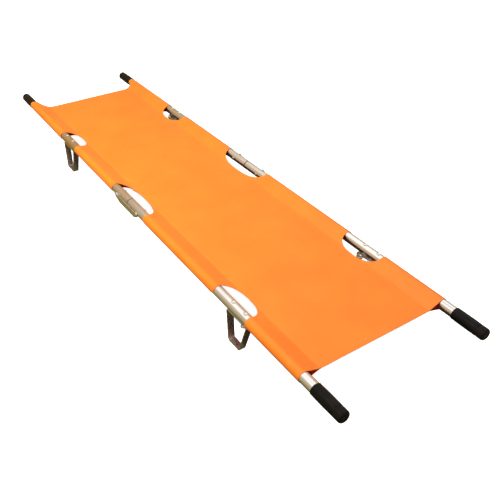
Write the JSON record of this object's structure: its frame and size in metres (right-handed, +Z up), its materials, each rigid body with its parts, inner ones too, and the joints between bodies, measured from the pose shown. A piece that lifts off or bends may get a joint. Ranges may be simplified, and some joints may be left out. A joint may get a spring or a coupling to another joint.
{
  "type": "folding stretcher",
  "caption": "Low two-pole folding stretcher: hinged aluminium poles, orange fabric bed, loop feet and folding cross-bars under it.",
  "frame": {"origin": "on the ground, under the middle of the bed (centre of the bounding box's bottom)", "axes": "+X along the poles towards the front end, +Y to the left, +Z up"},
  "size_m": [2.2, 0.5176, 0.1509],
  "materials": {
    "aluminium_tube": "satin, drawn tube with fine lengthwise lines",
    "zinc_steel": "bright zinc-plated steel strip",
    "bright_fastener": "bright plated rivets, bolts and pins",
    "rubber_grip": "matte black rubber",
    "orange_fabric": "coated woven fabric, soft sheen"
  },
  "bodies": {
    "pole_right_front": {"tube_right_front": "aluminium_tube", "grip_right_front": "rubber_grip", "foot_right_front": "zinc_steel", "bracket_right_front": "zinc_steel", "foot_rivet_right_front_1": "bright_fastener", "foot_rivet_right_front_2": "bright_fastener", "link_bolt_right_front": "bright_fastener", "strap_bolt_right_front": "bright_fastener", "sleeve_right_front_end": "orange_fabric", "sleeve_right_front_mid": "orange_fabric", "sheet_front": "orange_fabric"},
    "pole_right_rear": {"tube_right_rear": "aluminium_tube", "grip_right_rear": "rubber_grip", "foot_right_rear": "zinc_steel", "bracket_right_rear": "zinc_steel", "foot_rivet_right_rear_1": "bright_fastener", "foot_rivet_right_rear_2": "bright_fastener", "link_bolt_right_rear": "bright_fastener", "strap_bolt_right_rear": "bright_fastener", "sleeve_right_rear_end": "orange_fabric", "sleeve_right_rear_mid": "orange_fabric", "sheet_rear": "orange_fabric"},
    "pole_left_front": {"tube_left_front": "aluminium_tube", "grip_left_front": "rubber_grip", "foot_left_front": "zinc_steel", "bracket_left_front": "zinc_steel", "foot_rivet_left_front_1": "bright_fastener", "foot_rivet_left_front_2": "bright_fastener", "link_bolt_left_front": "bright_fastener", "strap_bolt_left_front": "bright_fastener", "sleeve_left_front_end": "orange_fabric", "sleeve_left_front_mid": "orange_fabric"},
    "pole_left_rear": {"tube_left_rear": "aluminium_tube", "grip_left_rear": "rubber_grip", "foot_left_rear": "zinc_steel", "bracket_left_rear": "zinc_steel", "foot_rivet_left_rear_1": "bright_fastener", "foot_rivet_left_rear_2": "bright_fastener", "link_bolt_left_rear": "bright_fastener", "strap_bolt_left_rear": "bright_fastener", "sleeve_left_rear_end": "orange_fabric", "sleeve_left_rear_mid": "orange_fabric"},
    "hinge_right": {"hinge_angle_right": "zinc_steel", "hinge_pin_right_front": "bright_fastener", "hinge_pin_right_rear": "bright_fastener", "sheet_middle": "orange_fabric"},
    "hinge_left": {"hinge_angle_left": "zinc_steel", "hinge_pin_left_front": "bright_fastener", "hinge_pin_left_rear": "bright_fastener"},
    "link_right_front": {"link_right_front": "zinc_steel", "link_pin_front": "bright_fastener"},
    "link_left_front": {"link_left_front": "zinc_steel"},
    "link_right_rear": {"link_right_rear": "zinc_steel", "link_pin_rear": "bright_fastener"},
    "link_left_rear": {"link_left_rear": "zinc_steel"}
  },
  "joints": [
    {"name": "spread", "type": "hinge", "parent": "pole_right_rear", "child": "link_right_rear", "pos_m": [-0.546, -0.228, 0.084], "axis": [0, 0, 1], "range_deg": [0, 75], "deforming": ["sheet_rear", "sheet_middle", "sheet_front"]},
    {"name": "rear_link_elbow", "type": "hinge", "parent": "link_right_rear", "child": "link_left_rear", "pos_m": [-0.546, 0, 0.082], "axis": [0, 0, 1], "range_deg": [-150, 0]},
    {"name": "rear_link_left_pivot", "type": "hinge", "parent": "link_left_rear", "child": "pole_left_rear", "pos_m": [-0.546, 0.228, 0.08], "axis": [0, 0, 1], "range_deg": [0, 75]},
    {"name": "fold_rear", "type": "hinge", "parent": "pole_right_rear", "child": "hinge_right", "pos_m": [-0.076, -0.236, 0.132], "axis": [0, 1, 0], "range_deg": [0, 90]},
    {"name": "fold_front", "type": "hinge", "parent": "hinge_right", "child": "pole_right_front", "pos_m": [0.076, -0.236, 0.132], "axis": [0, 1, 0], "range_deg": [0, 90]},
    {"name": "fold_rear_left", "type": "hinge", "parent": "pole_left_rear", "child": "hinge_left", "pos_m": [-0.076, 0.236, 0.132], "axis": [0, 1, 0], "range_deg": [0, 90]},
    {"name": "fold_front_left", "type": "hinge", "parent": "hinge_left", "child": "pole_left_front", "pos_m": [0.076, 0.236, 0.132], "axis": [0, 1, 0], "range_deg": [0, 90]},
    {"name": "front_link_right_pivot", "type": "hinge", "parent": "pole_right_front", "child": "link_right_front", "pos_m": [0.678, -0.228, 0.084], "axis": [0, 0, 1], "range_deg": [0, 75]},
    {"name": "front_link_elbow", "type": "hinge", "parent": "link_right_front", "child": "link_left_front", "pos_m": [0.678, 0, 0.082], "axis": [0, 0, 1], "range_deg": [-150, 0]}
  ],
  "couplings": [
    {"joint": "rear_link_elbow", "follows": "spread", "ratio": -2},
    {"joint": "rear_link_left_pivot", "follows": "spread", "ratio": 1},
    {"joint": "front_link_right_pivot", "follows": "spread", "ratio": 1},
    {"joint": "front_link_elbow", "follows": "spread", "ratio": -2},
    {"joint": "fold_rear_left", "follows": "fold_rear", "ratio": 1},
    {"joint": "fold_front_left", "follows": "fold_front", "ratio": 1}
  ]
}
